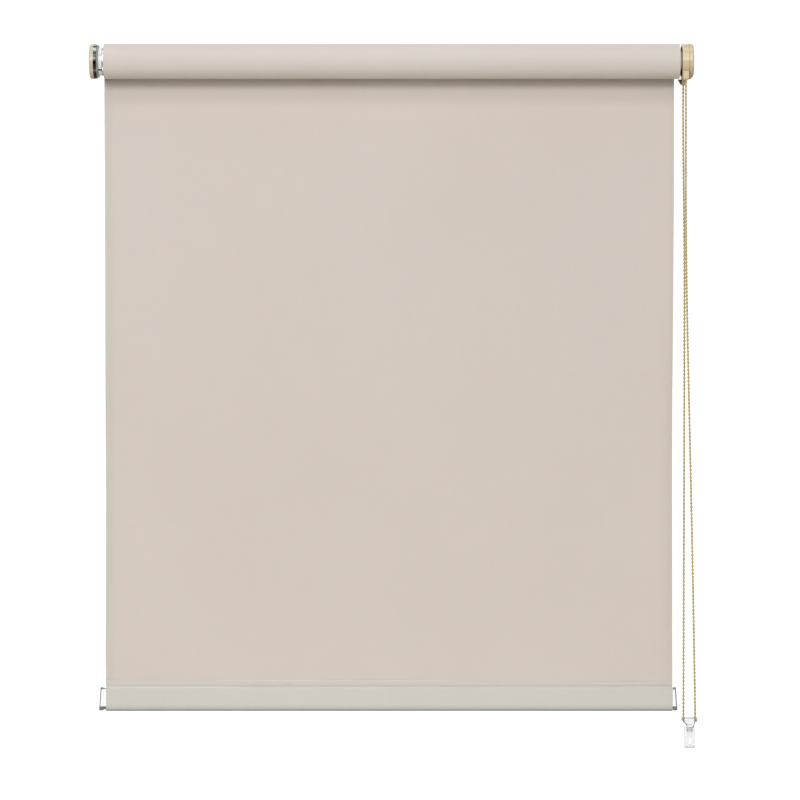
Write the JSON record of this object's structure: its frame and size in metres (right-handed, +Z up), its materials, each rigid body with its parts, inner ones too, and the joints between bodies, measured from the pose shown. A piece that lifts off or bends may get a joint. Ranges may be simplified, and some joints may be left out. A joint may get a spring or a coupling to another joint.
{
  "type": "roller blind",
  "caption": "Chain-driven roller blind: cloth rolls off the back of a tube held by side brackets, with a weighted hem rail and a bead chain with a clear safety joiner.",
  "frame": {"origin": "middle of the rectangle of the four wall screw holes, on the wall face of the brackets, level with the roller axis", "axes": "+X along the roller towards the chain end, +Y into the wall, +Z up; the room is at -Y"},
  "size_m": [0.9825, 0.0686, 1.1397],
  "materials": {
    "zinc": "zinc plated and passivated, bright, dark reflections",
    "cream_plastic": "moulded, satin to gloss",
    "ivory_cover": "moulded, satin to gloss",
    "white_plastic": "moulded, glossy",
    "grey_plastic": "moulded, fine teeth",
    "black_plastic": "moulded",
    "aluminium": "extruded, mill finish",
    "steel": "drawn",
    "spring_steel": "wire, oiled",
    "cloth": "coated blackout cloth, fine plain weave, matt",
    "hem_cloth": "coated blackout cloth, welded pocket",
    "pvc_strip": "extruded strip",
    "chain_plastic": "moulded beads on a cord",
    "clear_plastic": "clear moulded"
  },
  "bodies": {
    "mounting": {"bracket_idle": "zinc", "bracket_drive": "zinc", "pin_bush": "white_plastic", "cover_idle": "ivory_cover", "cover_drive": "cream_plastic", "idle_core": "white_plastic", "core_clip": "spring_steel", "clutch_post": "steel", "post_clip": "spring_steel", "clutch_housing": "cream_plastic", "chain_guard": "cream_plastic", "fabric_sheet": "cloth", "chain_front_strand": "chain_plastic", "chain_back_strand": "chain_plastic", "joiner_head": "clear_plastic", "joiner_tab": "clear_plastic"},
    "roller": {"roller_tube": "aluminium", "fabric_spline": "pvc_strip", "fabric_roll": "cloth", "idle_plug": "white_plastic", "drive_crown": "black_plastic"},
    "chain_driver": {"chain_wheel": "white_plastic", "chain_on_wheel": "chain_plastic", "wrap_springs": "spring_steel"},
    "retracting_pin": {"idle_pin": "steel"},
    "thumbwheel": {"thumbwheel": "grey_plastic"},
    "bottom_rail": {"hem_pocket": "hem_cloth", "bottom_bar": "aluminium", "bar_cap_left": "clear_plastic", "bar_cap_right": "clear_plastic"}
  },
  "joints": [
    {"name": "roller_spin", "type": "hinge", "parent": "mounting", "child": "roller", "pos_m": [0, -0.04, 0], "axis": [1, 0, 0], "range_deg": [-3048.5, 1951.5]},
    {"name": "chain_wheel_spin", "type": "hinge", "parent": "mounting", "child": "chain_driver", "pos_m": [0.47145, -0.04, 0], "axis": [1, 0, 0], "range_deg": [-3048.5, 1951.5]},
    {"name": "hem_lift", "type": "slide", "parent": "mounting", "child": "bottom_rail", "axis": [0, 0, 1], "range_m": [-1.5, 0.96], "deforming": ["fabric_sheet"]},
    {"name": "thumbwheel_turn", "type": "hinge", "parent": "mounting", "child": "thumbwheel", "pos_m": [-0.47475, -0.04, 0], "axis": [1, 0, 0], "range_deg": [0, 180]},
    {"name": "pin_retract", "type": "slide", "parent": "mounting", "child": "retracting_pin", "axis": [1, 0, 0], "range_m": [0, 0.006]}
  ],
  "couplings": [
    {"joint": "roller_spin", "follows": "hem_lift", "rad_per_m": 35.461},
    {"joint": "chain_wheel_spin", "follows": "hem_lift", "rad_per_m": 35.461},
    {"joint": "thumbwheel_turn", "follows": "pin_retract", "rad_per_m": 523.59}
  ]
}
